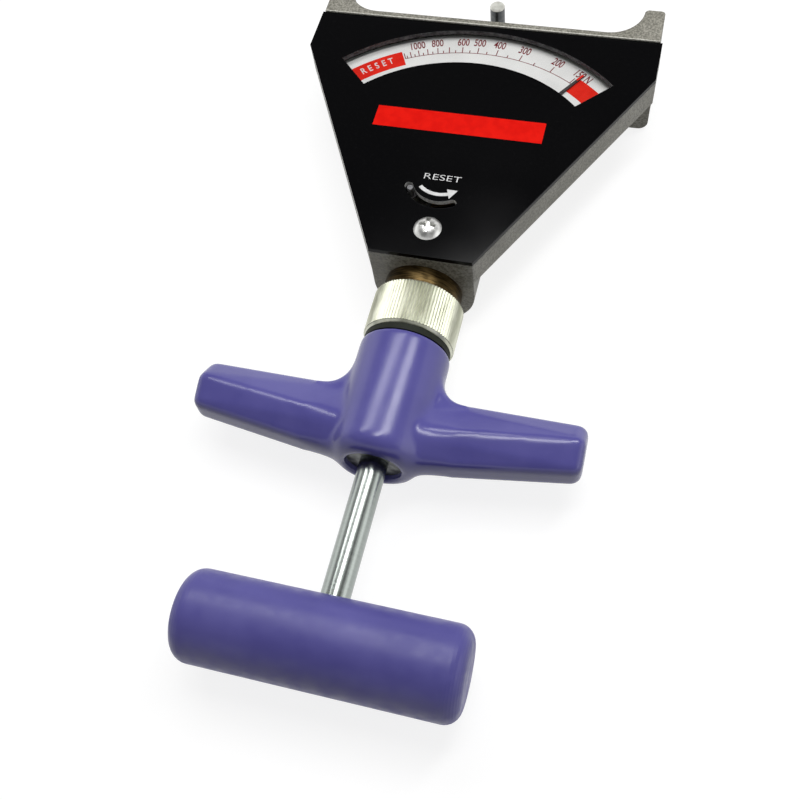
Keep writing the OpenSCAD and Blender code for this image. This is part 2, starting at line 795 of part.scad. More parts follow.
module neck_sleeve() {
    color("goldenrod") seat() difference() {
        union() {
            bar_y(spigot_d/2, neck_y, spigot_top_y);
            bar_y(collar_d/2, collar_y, neck_y);
            bar_y(sleeve_d/2, sleeve_low_y, collar_y);
        }
        bar_y(rod_r + run_clear, sleeve_low_y - 1, spigot_top_y + 1);
        bar_y(chamber_d/2, sleeve_low_y - 1, chamber_top_y);
    }
}

// Points of the coil: one ring of wire section at each step along the helix
coil_steps = 14;
coil_sides = 8;
coil_rise = (spring_len - wire_d - 0.2)/spring_turns;
function coil_point(i, j) =
    let (a = 360*i/coil_steps, b = 360*j/coil_sides, r = spring_d/2 + wire_d/2*cos(b))
    [r*cos(a), seat_y + seat_t + 0.1 + wire_d/2 + coil_rise*i/coil_steps + wire_d/2*sin(b), r*sin(a)];

module main_spring() {
    rings = coil_steps*spring_turns + 1;
    points = [for (i = [0:rings - 1], j = [0:coil_sides - 1]) coil_point(i, j)];
    skin = [for (i = [0:rings - 2], j = [0:coil_sides - 1])
            let (k = (j + 1) % coil_sides)
            [i*coil_sides + j, (i + 1)*coil_sides + j, (i + 1)*coil_sides + k, i*coil_sides + k]];
    first = [for (j = [0:coil_sides - 1]) j];
    last = [for (j = [coil_sides - 1:-1:0]) (rings - 1)*coil_sides + j];
    color("dimgray") seat() polyhedron(points, concat([first], skin, [last]));
}

module spring_seat() {
    color("silver") seat() tube_y(seat_d/2, rod_r + fit_clear, seat_y, seat_y + seat_t);
}

module seat_clip() {
    thin = 0.03;
    color("dimgray") seat() difference() {
        tube_y(rod_r + 1.6, rod_r - 0.6 + fit_clear, seat_clip_y + thin, seat_clip_y + seat_clip_t - thin);
        translate([-rod_r*0.6, seat_clip_y - 1, 0]) cube([rod_r*1.2, seat_clip_t + 2, 2*rod_r]);
    }
}

module lock_ring() {
    r = ring_d/2;
    root = r - knurl_depth;
    step = 360/knurls;
    outline = [for (k = [0:knurls - 1]) each [polar(root, k*step), polar(r, (k + 0.5)*step)]];
    end_r = root - 0.05;
    c = ring_chamfer;
    color("gainsboro") seat() difference() {
        union() {
            translate([0, ring_low_y + c, 0]) rotate([-90, 0, 0]) linear_extrude(ring_len - 2*c) polygon(outline);
            turned_y([[0, ring_low_y], [end_r - c, ring_low_y], [end_r, ring_low_y + c],
                      [end_r, ring_top_y - c], [end_r - c, ring_top_y], [0, ring_top_y]]);
        }
        bar_y(sleeve_d/2 + run_clear, ring_low_y - 1, ring_top_y + 1);
    }
}

module ring_washer() {
    color("dimgray") seat() tube_y(washer_d/2, sleeve_d/2 + fit_clear, handle_top_y, washer_y);
}

// One wing of the handle: a six-sided tapered bar with rounded edges and a ridge along each face
module right_wing() {
    top = handle_top_y - wing_drop;
    tip_x = wing_span/2 - wing_round;
    root = [2, wing_root_h, wing_root_t, wing_root_ridge];
    tip = [tip_x, wing_tip_h, wing_tip_t, wing_tip_ridge];
    hull() {
        for (s = [root, tip], z = [-1, 1],
             p = [[wing_round, wing_crest_t], [s[1]*s[3], s[2]], [s[1] - wing_round, wing_keel_t]])
            translate([s[0], top - p[0], z*(p[1]/2 - wing_round)]) sphere(wing_round, $fn = 24);
    }
}

// Flare that leads the neck into the upper edge of both wings
module wing_root() {
    top = handle_top_y - wing_drop - 1;
    far = neck_d/2 + wing_fillet;
    half_t = wing_crest_t/2 + 0.4;
    intersection() {
        rotate([-90, 0, 0]) rotate_extrude() difference() {
            translate([0, top - 6]) square([far, 6 + wing_fillet]);
            translate([far, top + wing_fillet]) circle(wing_fillet);
        }
        translate([-far, top - 6, -half_t]) cube([2*far, 6 + wing_fillet, 2*half_t]);
    }
}

module hub_solid() {
    r = neck_d/2;
    low = handle_low_y;
    arc = [for (i = [0:8]) [r - hub_round + hub_round*sin(i*90/8), low + hub_round - hub_round*cos(i*90/8)]];
    turned_y(concat([[0, low]], arc, [[r, handle_top_y - 0.6], [r - 0.6, handle_top_y], [0, handle_top_y]]));
}

module t_handle() {
    color("slateblue") seat() difference() {
        union() {
            hub_solid();
            both_sides() right_wing();
            wing_root();
        }
        bar_y(sleeve_d/2 + fit_clear, sleeve_low_y - 0.1, handle_top_y + 1);
        bar_y(bush_d/2 + fit_clear, handle_low_y - 1, sleeve_low_y);
    }
}

module lower_bush() {
    color("silver") seat()
        tube_y(bush_d/2, rod_r + run_clear, handle_low_y + bush_recess, sleeve_low_y - 0.1);
}

module grip() {
    r = grip_d/2;
    half = grip_len/2;
    c = half - grip_round;
    arc = [for (i = [0:8]) [r - grip_round + grip_round*cos(i*90/8), c + grip_round*sin(i*90/8)]];
    arc_low = [for (i = [8:-1:0]) [arc[i][0], -arc[i][1]]];
    color("slateblue") seat() difference() {
        translate([0, grip_y, 0]) rotate([0, 90, 0]) rotate_extrude()
            polygon(concat([[0, -half]], arc_low, arc, [[0, half]]));
        bar_y(rod_r + fit_clear, grip_y, grip_top_y + r);
        bar_y(insert_d/2 + fit_clear, insert_low_y - 0.1, insert_top_y + 0.1);
    }
}

module grip_insert() {
    color("silver") seat() difference() {
        bar_y(insert_d/2, insert_low_y, insert_top_y);
        bar_y(rod_r + fit_clear, rod_low_y - 0.1, insert_top_y + 1);
    }
}

case();
front_panel();
panel_screw();
window_lens();
dial_plate();
dial_screws();
pointer();
reset_pin();
pointer_arbor();
friction_washer();
arbor_clip();
drive_sector();
drive_dog();
rack();
rack_rivets();
rack_bracket();
bracket_pin();
plunger_rod();
hook();
hook_finger();
hook_pin();
upper_bush();
neck_sleeve();
main_spring();
spring_seat();
seat_clip();
lock_ring();
ring_washer();
t_handle();
lower_bush();
grip();
grip_insert();
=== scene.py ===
# %% [markdown]
# A hand-held belt tension tester. The CAD model gives every solid piece its shape and place; this lesson
# gives the pieces their finishes, prints the dial and the panel, softens the moulded handle, and sets up a
# plain studio. All places are read from the CAD frame, in metres, so nothing has to be fitted by eye.

import math

import bpy
from mathutils import Matrix, Vector


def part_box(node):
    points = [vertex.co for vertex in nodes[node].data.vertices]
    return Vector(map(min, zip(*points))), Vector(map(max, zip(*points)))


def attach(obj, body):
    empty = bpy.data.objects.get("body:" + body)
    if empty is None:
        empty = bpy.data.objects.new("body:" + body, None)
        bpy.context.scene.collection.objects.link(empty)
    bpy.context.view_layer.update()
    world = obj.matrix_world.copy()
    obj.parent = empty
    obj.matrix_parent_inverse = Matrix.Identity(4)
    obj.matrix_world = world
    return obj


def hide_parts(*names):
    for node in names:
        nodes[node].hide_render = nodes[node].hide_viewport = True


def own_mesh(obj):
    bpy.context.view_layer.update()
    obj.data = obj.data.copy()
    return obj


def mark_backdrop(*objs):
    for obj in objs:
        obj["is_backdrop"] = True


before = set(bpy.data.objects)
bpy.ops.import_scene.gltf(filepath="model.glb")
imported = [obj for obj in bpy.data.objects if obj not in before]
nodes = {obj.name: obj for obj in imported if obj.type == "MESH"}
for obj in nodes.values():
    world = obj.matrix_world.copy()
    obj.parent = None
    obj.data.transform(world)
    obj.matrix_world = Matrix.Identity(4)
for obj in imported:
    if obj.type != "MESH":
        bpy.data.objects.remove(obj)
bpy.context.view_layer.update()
MM = 0.001

# %% [markdown]
# The print on the dial and the panel is laid out from three landmarks: the pivot of the pointer, the face of
# the panel and the face of the dial. They are measured on the CAD nodes instead of being typed again.

# %% Landmarks
arbor_low, arbor_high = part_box("pointer_arbor")
PIVOT = (arbor_low + arbor_high) / 2
PANEL_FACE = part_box("front_panel")[1].z
PANEL_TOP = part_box("front_panel")[1].y
DIAL_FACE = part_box("dial_plate")[1].z
print("pivot", [round(v, 4) for v in PIVOT], "panel face", round(PANEL_FACE, 4))

# %% [markdown]
# Every finish is built from the same few steps: a noise in the piece's own coordinates, a colour ramp that
# turns it into a tint, a range that turns it into roughness, and a bump. Short helpers keep each recipe
# readable.


# %% Helpers for finishes
def new_finish(name, metallic=0.0, specular=0.5):
    material = bpy.data.materials.new(name)
    material.use_nodes = True
    shader = material.node_tree.nodes["Principled BSDF"]
    shader.inputs["Metallic"].default_value = metallic
    shader.inputs["Specular IOR Level"].default_value = specular
    return material, material.node_tree, shader


def grain(tree, scale, detail=4.0, stretch=(1, 1, 1), rough=0.55):
    """A noise in the piece's own coordinates; scale is in features per metre."""
    coords = tree.nodes.new("ShaderNodeTexCoord")
    mapping = tree.nodes.new("ShaderNodeMapping")
    mapping.inputs["Scale"].default_value = stretch
    noise = tree.nodes.new("ShaderNodeTexNoise")
    noise.inputs["Scale"].default_value = scale
    noise.inputs["Detail"].default_value = detail
    noise.inputs["Roughness"].default_value = rough
    tree.links.new(coords.outputs["Object"], mapping.inputs["Vector"])
    tree.links.new(mapping.outputs["Vector"], noise.inputs["Vector"])
    return noise.outputs["Fac"]


def tint(tree, value, low, high, start=0.35, end=0.65):
    """Colour between low and high as value goes from start to end."""
    ramp = tree.nodes.new("ShaderNodeValToRGB")
    ramp.color_ramp.interpolation = "EASE"
    ramp.color_ramp.elements[0].position = start
    ramp.color_ramp.elements[0].color = (*low, 1)
    ramp.color_ramp.elements[1].position = end
    ramp.color_ramp.elements[1].color = (*high, 1)
    tree.links.new(value, ramp.inputs["Fac"])
    return ramp.outputs["Color"]


def spread(tree, value, low, high):
    """Number between low and high as value goes from 0.3 to 0.7."""
    node = tree.nodes.new("ShaderNodeMapRange")
    node.interpolation_type = "SMOOTHSTEP"
    node.inputs["From Min"].default_value = 0.3
    node.inputs["From Max"].default_value = 0.7
    node.inputs["To Min"].default_value = low
    node.inputs["To Max"].default_value = high
    tree.links.new(value, node.inputs["Value"])
    return node.outputs["Result"]


def blend_colours(tree, value, first, second):
    """The first colour where value is 0 and the second where it is 1."""
    node = tree.nodes.new("ShaderNodeMix")
    node.data_type = "RGBA"
    tree.links.new(value, node.inputs["Factor"])
    tree.links.new(first, node.inputs["A"])
    tree.links.new(second, node.inputs["B"])
    return node.outputs["Result"]


def number_step(tree, operation, *values):
    """A sum or a comparison; each value is a number or the output of another node."""
    node = tree.nodes.new("ShaderNodeMath")
    node.operation = operation
    for socket, value in zip(node.inputs, values):
        if isinstance(value, (int, float)):
            socket.default_value = value
        else:
            tree.links.new(value, socket)
    return node.outputs["Value"]


def place_in_piece(tree):
    """The X, Y and Z of a point in the piece's own coordinates."""
    coords = tree.nodes.new("ShaderNodeTexCoord")
    split = tree.nodes.new("ShaderNodeSeparateXYZ")
    tree.links.new(coords.outputs["Object"], split.inputs["Vector"])
    return split.outputs


def relief(tree, shader, value, height, strength=1.0, edge=0.0):
    """A fine bump; an edge radius above zero also rounds the corners in the light, as on a worn edge."""
    bump = tree.nodes.new("ShaderNodeBump")
    bump.inputs["Strength"].default_value = strength
    bump.inputs["Distance"].default_value = height
    tree.links.new(value, bump.inputs["Height"])
    if edge > 0:
        bevel = tree.nodes.new("ShaderNodeBevel")
        bevel.samples = 6
        bevel.inputs["Radius"].default_value = edge
        tree.links.new(bevel.outputs["Normal"], bump.inputs["Normal"])
    tree.links.new(bump.outputs["Normal"], shader.inputs["Normal"])


def simple_finish(name, low, high, scale, gloss, height, metallic=0.0, stretch=(1, 1, 1), specular=0.5):
    """A finish with one grain: tint from low to high, roughness over the gloss range, and a fine relief."""
    material, tree, shader = new_finish(name, metallic, specular)
    value = grain(tree, scale, stretch=stretch)
    tree.links.new(tint(tree, value, low, high), shader.inputs["Base Color"])
    tree.links.new(spread(tree, value, *gloss), shader.inputs["Roughness"])
    relief(tree, shader, value, height)
    return material


def dress(material, *names):
    for name in names:
        slots = nodes[name].data.materials
        slots.clear()
        slots.append(material)


# %% [markdown]
# The head is a small alloy casting: grey, with a fine sandy grain and darker flecks where the mould was
# rough. A noise at two sizes gives both. The step that the panel sits against was milled after casting; the
# narrow bright line along it is partly that paler metal and partly a painted highlight where the edge
# catches the light: the finish turns bright above the panel's face and close to its top edge.

# %% Cast alloy of the head
MILLED_HIGHLIGHT_RISE, MILLED_HIGHLIGHT_REACH = 0.1 * MM, 0.35 * MM


def cast_alloy():
    material, tree, shader = new_finish("cast_alloy", metallic=0.15)
    fine = grain(tree, 1500, detail=3)
    patches = grain(tree, 130, detail=5)
    grey = tint(tree, fine, (0.17, 0.163, 0.137), (0.38, 0.368, 0.315))
    tone = tint(tree, patches, (0.78, 0.78, 0.76), (1.0, 1.0, 1.0))
    multiply = tree.nodes.new("ShaderNodeMix")
    multiply.data_type = "RGBA"
    multiply.blend_type = "MULTIPLY"
    multiply.inputs["Factor"].default_value = 1.0
    tree.links.new(grey, multiply.inputs["A"])
    tree.links.new(tone, multiply.inputs["B"])
    # Pale milled metal, brightened further as a painted highlight along the step's edge.
    milled_highlight = tint(tree, fine, (0.5, 0.49, 0.43), (0.74, 0.73, 0.66))
    place = place_in_piece(tree)
    above = number_step(tree, "GREATER_THAN", place["Z"], PANEL_FACE + MILLED_HIGHLIGHT_RISE)
    close = number_step(tree, "LESS_THAN", place["Y"], PANEL_TOP + MILLED_HIGHLIGHT_REACH)
    step = number_step(tree, "MULTIPLY", above, close)
    colour = blend_colours(tree, step, multiply.outputs["Result"], milled_highlight)
    tree.links.new(colour, shader.inputs["Base Color"])
    tree.links.new(spread(tree, fine, 0.38, 0.6), shader.inputs["Roughness"])
    relief(tree, shader, fine, 0.06 * MM, edge=0.5 * MM)
    return material


dress(cast_alloy(), "case")
print("cast alloy on the case")

# %% [markdown]
# The panel is sheet metal with gloss black paint. Such paint is never perfectly even: the roughness drifts a
# little and fine dust sits on it. Low specular keeps it as black as lacquer looks under soft light. The
# window and the slot were punched after painting, so their cut walls are grey: a point counts as cut metal if
# it faces the pivot, or lies as near to it as the slot does, and its face stands upright. The slot's wall
# carries a painted highlight: a light grey painted where its edge catches the light.

# %% Black panel paint
WALL_FACING, SLOT_REACH, UPRIGHT = 4 * MM, 14 * MM, 0.5


def cut_walls(tree):
    """Two masks: 1 on the upright walls of the window and the slot, and 1 near the slot."""
    where = tree.nodes.new("ShaderNodeNewGeometry")
    inward = tree.nodes.new("ShaderNodeVectorMath")
    inward.operation = "SUBTRACT"
    inward.inputs[0].default_value = (PIVOT.x, PIVOT.y, PANEL_FACE)
    tree.links.new(where.outputs["Position"], inward.inputs[1])
    facing = tree.nodes.new("ShaderNodeVectorMath")
    facing.operation = "DOT_PRODUCT"
    tree.links.new(where.outputs["True Normal"], facing.inputs[0])
    tree.links.new(inward.outputs["Vector"], facing.inputs[1])
    distance = tree.nodes.new("ShaderNodeVectorMath")
    distance.operation = "LENGTH"
    tree.links.new(inward.outputs["Vector"], distance.inputs[0])
    split = tree.nodes.new("ShaderNodeSeparateXYZ")
    tree.links.new(where.outputs["True Normal"], split.inputs["Vector"])
    toward = number_step(tree, "GREATER_THAN", facing.outputs["Value"], WALL_FACING)
    near = number_step(tree, "LESS_THAN", distance.outputs["Value"], SLOT_REACH)
    either = number_step(tree, "MAXIMUM", toward, near)
    upright = number_step(tree, "COMPARE", split.outputs["Z"], 0.0, UPRIGHT)
    return number_step(tree, "MULTIPLY", either, upright), near


def black_lacquer():
    material, tree, shader = new_finish("black_lacquer", specular=0.1)
    dust = grain(tree, 900, detail=6, rough=0.7)
    drift = grain(tree, 25, detail=2)
    paint = tint(tree, dust, (0.0016, 0.0016, 0.002), (0.0045, 0.0045, 0.005), 0.5, 0.8)
    cut, near = cut_walls(tree)
    dull = tint(tree, dust, (0.045, 0.044, 0.046), (0.12, 0.118, 0.12))
    # Painted highlight on the slot's cut wall: a light grey in place of light catching its edge.
    slot_wall_highlight = tint(tree, dust, (0.5, 0.5, 0.49), (0.8, 0.8, 0.78))
    metal = blend_colours(tree, near, dull, slot_wall_highlight)
    tree.links.new(blend_colours(tree, cut, paint, metal), shader.inputs["Base Color"])
    tree.links.new(spread(tree, drift, 0.08, 0.16), shader.inputs["Roughness"])
    relief(tree, shader, dust, 0.004 * MM, 0.3, edge=0.2 * MM)
    return material


dress(black_lacquer(), "front_panel")
print("lacquer on the panel")

# %% [markdown]
# T-handle and cross grip are moulded in the same violet plastic, with a very fine orange-peel relief and
# faint cloudy changes of colour where it flowed. The T-handle kept its satin gloss, and the palm has rubbed
# the grip dull. One recipe makes both: only the roughness and the size of the scuffs differ.


# %% Violet moulded plastic
def violet_plastic(name, scuffs, gloss):
    material, tree, shader = new_finish(name, specular=0.5)
    cloud = grain(tree, 45, detail=4)
    peel = grain(tree, 450, detail=1)
    scuff = grain(tree, scuffs, detail=3)
    tree.links.new(tint(tree, cloud, (0.088, 0.080, 0.318), (0.108, 0.099, 0.356)),
                   shader.inputs["Base Color"])
    tree.links.new(spread(tree, scuff, *gloss), shader.inputs["Roughness"])
    relief(tree, shader, peel, 0.012 * MM, 0.4)
    return material


violet = violet_plastic("violet_plastic", 70, (0.21, 0.265))
dress(violet, "t_handle")
dress(violet_plastic("rubbed_violet_plastic", 260, (0.34, 0.5)), "grip")
print("violet plastic on handle and grip")

# %% [markdown]
# The metal pieces differ in how they were worked. The rod is ground and chromed, so its lines run round it;
# the ring is zinc plated with a faint yellow-green cast; screws and pins are bright plated steel; the inner
# brass is bright; the hook is dark forged steel. The rod's tint is darker than chrome's, as painted shade
# for the dark reflections along its sides. The neck sleeve, the lower bush in its recess and the washer under
# the ring are tinted nearly black: painted shade for the shadow they sit in.

# %% Metals
# Painted shade: the rod's tint is kept darker than chrome's for the dark reflections along its sides.
shaded_chrome = simple_finish("chromed_rod", (0.32, 0.35, 0.33), (0.35, 0.38, 0.36), 160, (0.2, 0.26),
                       0.0004 * MM, metallic=1.0, stretch=(1, 14, 1))
zinc = simple_finish("zinc_plate", (0.44, 0.45, 0.35), (0.68, 0.69, 0.58), 240, (0.34, 0.5),
                     0.02 * MM, metallic=1.0, stretch=(1, 0.3, 1))
bright = simple_finish("bright_steel", (0.62, 0.62, 0.6), (0.8, 0.8, 0.78), 700, (0.29, 0.42),
                       0.01 * MM, metallic=1.0)
brass = simple_finish("turned_brass", (0.42, 0.29, 0.12), (0.58, 0.43, 0.2), 300, (0.29, 0.42),
                      0.012 * MM, metallic=1.0, stretch=(1, 8, 1))
# Painted shade: the neck sleeve's brass is tinted nearly black for the shadow it sits in under the case.
shaded_brass = simple_finish("brass_painted_shade", (0.045, 0.03, 0.012), (0.15, 0.1, 0.04), 260, (0.29, 0.38),
                       0.012 * MM, metallic=1.0, stretch=(1, 8, 1))
# Painted shade: the lower bush is tinted nearly black for the shade in its recess in the hub.
shaded_bush = simple_finish("bush_painted_shade", (0.03, 0.032, 0.032), (0.13, 0.135, 0.13), 420, (0.29, 0.38),
                          0.012 * MM, metallic=1.0)
forged = simple_finish("forged_steel", (0.125, 0.125, 0.122), (0.175, 0.175, 0.168), 700, (0.42, 0.55),
                       0.05 * MM, metallic=0.85)
spring = simple_finish("oiled_spring", (0.09, 0.09, 0.095), (0.2, 0.2, 0.21), 400, (0.29, 0.4),
                       0.01 * MM, metallic=1.0)
# Painted shade: the washer under the ring is tinted nearly black for the shadow gap between ring and handle.
shadow_washer = simple_finish("washer_painted_shade", (0.006, 0.008, 0.005), (0.02, 0.024, 0.016), 1200, (0.55, 0.8),
                      0.04 * MM, specular=0.25)
dress(shaded_chrome, "plunger_rod")
dress(zinc, "lock_ring")
dress(bright, "panel_screw", "dial_screws", "pointer_arbor", "drive_dog", "rack", "bracket_pin",
      "hook_pin", "spring_seat", "grip_insert")
dress(shaded_bush, "lower_bush")
dress(brass, "friction_washer", "drive_sector", "rack_rivets", "upper_bush")
dress(shaded_brass, "neck_sleeve")
dress(forged, "hook", "rack_bracket")
dress(spring, "main_spring", "seat_clip", "arbor_clip", "reset_pin")
dress(shadow_washer, "ring_washer")
print("rod, ring, neck, screws, gears and springs dressed")

# %% [markdown]
# The finger's side is painted dark blue-grey as painted shade, and its turned end face is painted
# bright as a painted highlight where the light falls on it. One finish does both: above the start of the
# end's chamfer it changes from the dark tint to the bright one, and the end is less metallic.

# %% Hook finger
FINGER_END, END_METALLIC = 0.7 * MM, 0.35


def finger_finish():
    material, tree, shader = new_finish("finger_steel", metallic=1.0)
    fine = grain(tree, 600)
    # Painted shade on the side and a painted highlight on the end face, split at the end's chamfer.
    dark = tint(tree, fine, (0.075, 0.08, 0.083), (0.12, 0.125, 0.126))
    lit_end_highlight = tint(tree, fine, (0.64, 0.64, 0.58), (0.8, 0.8, 0.74))
    end_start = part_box("hook_finger")[1].z - FINGER_END
    end = number_step(tree, "GREATER_THAN", place_in_piece(tree)["Z"], end_start)
    tree.links.new(blend_colours(tree, end, dark, lit_end_highlight), shader.inputs["Base Color"])
    metal = tree.nodes.new("ShaderNodeMapRange")
    metal.inputs["To Min"].default_value = 1.0
    metal.inputs["To Max"].default_value = END_METALLIC
    tree.links.new(end, metal.inputs["Value"])
    tree.links.new(metal.outputs["Result"], shader.inputs["Metallic"])
    tree.links.new(spread(tree, fine, 0.285, 0.38), shader.inputs["Roughness"])
    relief(tree, shader, fine, 0.01 * MM)
    return material


dress(finger_finish(), "hook_finger")
print("finger with a bright end")

# %% [markdown]
# The dial is a white painted plate behind a thin clear lens. A real glass shader would stop the lamps from
# lighting the dial directly, so the lens is mostly see-through and keeps only a trace of its gloss.

# %% Dial paint and lens
dial_paint = simple_finish("dial_paint", (0.72, 0.72, 0.705), (0.78, 0.78, 0.765), 90, (0.4, 0.5),
                           0.004 * MM)
dress(dial_paint, "dial_plate")
lens, lens_tree, lens_shader = new_finish("clear_lens", specular=0.35)
lens_smear = grain(lens_tree, 60, detail=3)
lens_tree.links.new(spread(lens_tree, lens_smear, 0.03, 0.08), lens_shader.inputs["Roughness"])
lens_shader.inputs["Base Color"].default_value = (0.03, 0.035, 0.035, 1)
lens_shader.inputs["Alpha"].default_value = 0.03
dress(lens, "window_lens")
needle_paint = simple_finish("needle_paint", (0.012, 0.01, 0.01), (0.03, 0.025, 0.025), 500, (0.4, 0.55),
                             0.005 * MM)
dress(needle_paint, "pointer")
print("dial, lens and needle")

# %% [markdown]
# Print is ink on a surface. Each mark is a very thin raised mesh, so it keeps a clean edge at any distance
# and rides with its plate. Shapes are drawn flat in the plane of the plate and lifted by the ink's thickness.

# %% Ink and flat shapes
INK = 0.02 * MM
maroon_ink = simple_finish("maroon_ink", (0.15, 0.01, 0.016), (0.22, 0.018, 0.026), 800, (0.45, 0.6),
                           0.003 * MM, specular=0.15)
red_ink = simple_finish("red_ink", (0.69, 0.004, 0.001), (0.77, 0.007, 0.002), 300, (0.4, 0.5),
                        0.003 * MM, specular=0.06)
zone_ink = simple_finish("zone_ink", (0.66, 0.014, 0.006), (0.74, 0.02, 0.009), 300, (0.4, 0.5),
                         0.003 * MM, specular=0.08)
white_ink = simple_finish("white_ink", (0.62, 0.62, 0.62), (0.74, 0.74, 0.74), 500, (0.45, 0.6),
                          0.003 * MM, specular=0.2)


def printed(name, outlines, height, ink, body="frame"):
    """A thin printed mark from closed outlines of (x, y) points, standing on the given height."""
    points, faces = [], []
    for outline in outlines:
        base, count = len(points), len(outline)
        points += [(x, y, height) for x, y in outline]
        points += [(x, y, height + INK) for x, y in outline]
        faces.append([base + count + i for i in range(count)])
        faces.append([base + i for i in reversed(range(count))])
        faces += [[base + i, base + (i + 1) % count, base + count + (i + 1) % count, base + count + i]
                  for i in range(count)]
    mesh = bpy.data.meshes.new(name)
    mesh.from_pydata(points, [], faces)
    mesh.materials.append(ink)
    mark = bpy.data.objects.new(name, mesh)
    bpy.context.scene.collection.objects.link(mark)
    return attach(mark, body)


def on_dial(radius, degrees):
    """Point at a radius (mm) from the pivot; degrees are clockwise from straight up."""
    angle = math.radians(degrees)
    return PIVOT.x + radius * MM * math.sin(angle), PIVOT.y + radius * MM * math.cos(angle)


def band(inner, outer, start, end, steps=24):
    """Part of a flat ring about the pivot, as an outline."""
    turns = [start + (end - start) * i / steps for i in range(steps + 1)]
    return [on_dial(outer, a) for a in reversed(turns)] + [on_dial(inner, a) for a in turns]


def stroke_at(degrees, inner, outer, width):
    """A radial tick mark."""
    half = math.degrees(width / 2 / outer)
    return band(inner, outer, degrees - half, degrees + half, steps=1)


print("ink ready")

# %% [markdown]
# The scale is logarithmic: equal ratios of tension take equal angles, because the hook's travel falls off as
# the belt gets tighter. One formula places every tick and number. Hundreds get long ticks and fifties short
# ones.

# %% Scale, ticks and zones
SCALE_FIRST, SCALE_LAST, SCALE_STEP = 150, 1150, 50
SCALE_START, SCALE_END, DEGREES_PER_E = 32.6, -25.8, 28.3
LINE_R, LINE_W, LINE_OVERRUN = 56.2, 0.24, 1.2
TICK_LONG, TICK_SHORT, TICK_W = 2.6, 1.2, 0.3
START_ZONE = band(53.4, 59.7, -43.4, -26.3)
END_ZONE = band(52.8, 59.5, 34.3, 42.2)


def scale_angle(newtons):
    return SCALE_START - DEGREES_PER_E * math.log(newtons / SCALE_FIRST)


def tick(newtons):
    short = newtons % 100 and newtons != SCALE_FIRST
    return stroke_at(scale_angle(newtons), LINE_R, LINE_R + (TICK_SHORT if short else TICK_LONG), TICK_W)


ticks = [tick(newtons) for newtons in range(SCALE_FIRST, SCALE_LAST + 1, SCALE_STEP)]
ticks.append(stroke_at(SCALE_END, LINE_R, LINE_R + TICK_LONG, TICK_W))
line = band(LINE_R - LINE_W / 2, LINE_R + LINE_W / 2, SCALE_END, SCALE_START + LINE_OVERRUN, steps=60)
ON_DIAL = DIAL_FACE + 0.01 * MM
printed("scale_line", [line], ON_DIAL, maroon_ink)
printed("scale_ticks", ticks, ON_DIAL, maroon_ink)
printed("start_zone", [START_ZONE], ON_DIAL, zone_ink)
printed("end_zone", [END_ZONE], ON_DIAL, zone_ink)
print("ticks:", len(ticks))

# %% [markdown]
# Numbers are text turned into meshes. They stand outside the ticks and lean with the arc, so each one is set
# upright at the top of the dial and then turned about the pivot. Narrow figures leave room between them.

# %% Numbers
CAPITAL_SHARE = 0.7


def lettering(name, text, place, height, turn, ink, lift, width=0.72, weight=0.012):
    """Text centred on a place (x, y), as a thin mesh riding on the frame; weight thickens the strokes."""
    curve = bpy.data.curves.new(name, "FONT")
    curve.body = text
    curve.align_x = "CENTER"
    curve.align_y = "CENTER"
    curve.extrude = 0.004
    curve.offset = weight
    source = bpy.data.objects.new(name + "_text", curve)
    bpy.context.scene.collection.objects.link(source)
    bpy.context.view_layer.update()
    mesh = bpy.data.meshes.new_from_object(source.evaluated_get(bpy.context.evaluated_depsgraph_get()))
    bpy.data.objects.remove(source)
    size = height * MM / CAPITAL_SHARE
    lean = Matrix.Rotation(-math.radians(turn), 4, "Z")
    mesh.transform(Matrix.Translation((place[0], place[1], lift)) @ lean
                   @ Matrix.Diagonal((size * width, size, size, 1)))
    mesh.materials.clear()
    mesh.materials.append(ink)
    mark = bpy.data.objects.new(name, mesh)
    bpy.context.scene.collection.objects.link(mark)
    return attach(mark, "frame")


NUMBER_R, NUMBER_H, NUMBER_NARROW = 60.9, 3.1, 0.6
UNIT_LEAN = 36.0
ON_INK = ON_DIAL + INK
for value in (1000, 800, 600, 500, 400, 300, 200, 150):
    lean = scale_angle(value)
    lettering(f"number_{value}", str(value), on_dial(NUMBER_R, lean), NUMBER_H, lean, maroon_ink, ON_INK,
              width=NUMBER_NARROW)
lettering("unit_mark", "N", on_dial(NUMBER_R, UNIT_LEAN), NUMBER_H, UNIT_LEAN, maroon_ink, ON_INK,
          width=NUMBER_NARROW)
ZONE_WORD_R, ZONE_WORD_H, ZONE_WORD_START, ZONE_WORD_STEP = 56.7, 2.7, -40.6, 2.46
for index, letter in enumerate("RESET"):
    lean = ZONE_WORD_START + ZONE_WORD_STEP * index
    lettering(f"zone_letter_{index + 1}", letter, on_dial(ZONE_WORD_R, lean), ZONE_WORD_H, lean, white_ink,
              ON_INK + INK)
print("numbers set at radius", NUMBER_R)

# %% [markdown]
# The panel carries a plain red bar and a white arrow that follows the curved slot: push the pin that way and
# the pointer goes back to the start of the scale.

